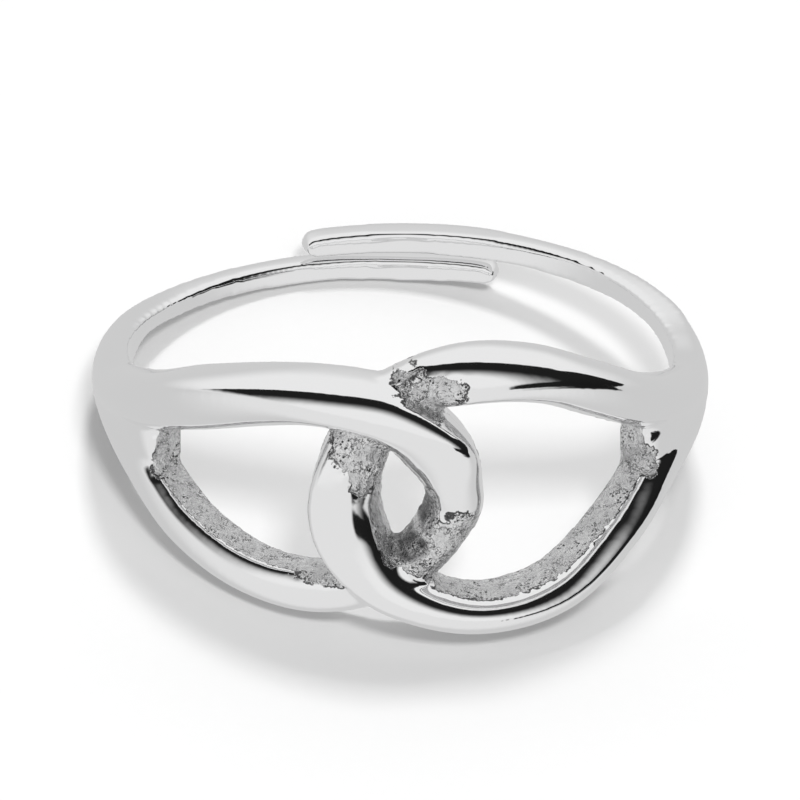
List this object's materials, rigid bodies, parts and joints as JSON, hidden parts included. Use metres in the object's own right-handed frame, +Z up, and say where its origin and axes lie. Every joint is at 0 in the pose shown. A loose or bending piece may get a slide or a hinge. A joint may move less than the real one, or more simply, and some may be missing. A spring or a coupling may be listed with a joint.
{
  "type": "infinity ring",
  "caption": "Open adjustable ring in polished silver, with interlocked teardrop links across the front and slim arms that lie side by side at the back.",
  "frame": {"origin": "centre of the bottom of the box round the ring, as it lies on its side on a flat surface", "axes": "+Z up from the surface, +Y from the links at the front towards the overlapping arms at the back, +X to the right as seen from the front"},
  "size_m": [0.0196, 0.0214, 0.0096],
  "materials": {
    "silver": "polished"
  },
  "bodies": {
    "root": {"ring": "silver"}
  },
  "joints": []
}
